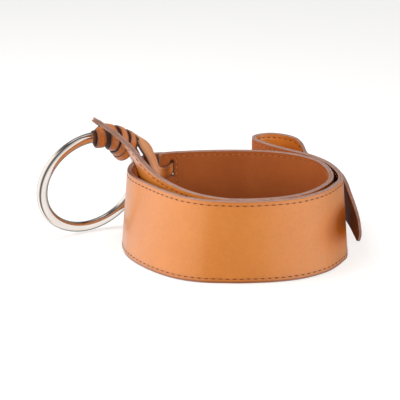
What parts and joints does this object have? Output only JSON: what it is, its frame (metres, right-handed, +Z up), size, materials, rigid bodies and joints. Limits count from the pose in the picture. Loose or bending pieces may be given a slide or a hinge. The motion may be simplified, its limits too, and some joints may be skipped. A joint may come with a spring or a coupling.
{
  "type": "leather ring belt",
  "caption": "Wide contoured leather belt, coiled on its edge: stitched leather halves laced through slots to a large polished ring, with a narrow strap and a flap end.",
  "frame": {"origin": "on the floor, at the bottom middle of the whole object's box", "axes": "+Z up, -Y towards the front of the coil, +X towards the flap end, with the ring on the -X side"},
  "size_m": [0.23, 0.1758, 0.0995],
  "materials": {
    "grain_leather": "smooth tan grain, satin",
    "core_leather": "raw, matt",
    "lining_leather": "smooth brown lining, low sheen",
    "lace_leather": "smooth tan lace, satin",
    "thread": "waxed thread",
    "polished_metal": "mirror polish"
  },
  "bodies": {
    "belt": {"inner_shell": "grain_leather", "inner_core": "core_leather", "inner_lining": "lining_leather", "inner_thread": "thread", "outer_shell": "grain_leather", "outer_core": "core_leather", "outer_lining": "lining_leather", "outer_thread": "thread", "slot_lace": "lace_leather"},
    "strap": {"strap_shell": "grain_leather", "strap_lining": "lining_leather", "strap_thread": "thread"},
    "tail": {"tail_shell": "grain_leather", "tail_core": "core_leather", "tail_lining": "lining_leather", "tail_upper_thread": "thread", "tail_lower_thread": "thread"},
    "flap": {"flap_shell": "grain_leather", "flap_lining": "lining_leather", "flap_thread": "thread"},
    "knot": {"knot_sleeve": "lace_leather", "wrap_thong": "lace_leather", "neck_lace": "lace_leather"},
    "ring": {"ring": "polished_metal"}
  },
  "joints": [
    {"name": "strap_bend", "type": "hinge", "parent": "belt", "child": "strap", "pos_m": [-0.04298, -0.02284, 0.06677], "axis": [-0.0163, 0.7963, -0.6047], "range_deg": [-8, 30]},
    {"name": "tail_swing", "type": "hinge", "parent": "belt", "child": "tail", "pos_m": [0.07452, 0.03291, 0.02857], "axis": [0, 0, 1], "range_deg": [0, 10]},
    {"name": "flap_swing", "type": "hinge", "parent": "tail", "child": "flap", "pos_m": [0.10442, 0.02441, 0.02837], "axis": [0, 0, 1], "range_deg": [0, 30]},
    {"name": "knot_swing", "type": "hinge", "parent": "belt", "child": "knot", "pos_m": [-0.03558, 0.02081, 0.05687], "axis": [0, 0, 1], "range_deg": [-17, 3]},
    {"name": "ring_turn", "type": "hinge", "parent": "knot", "child": "ring", "pos_m": [-0.07818, 0.00791, 0.04067], "axis": [0.4864, -0.8291, -0.2756], "continuous": true}
  ]
}
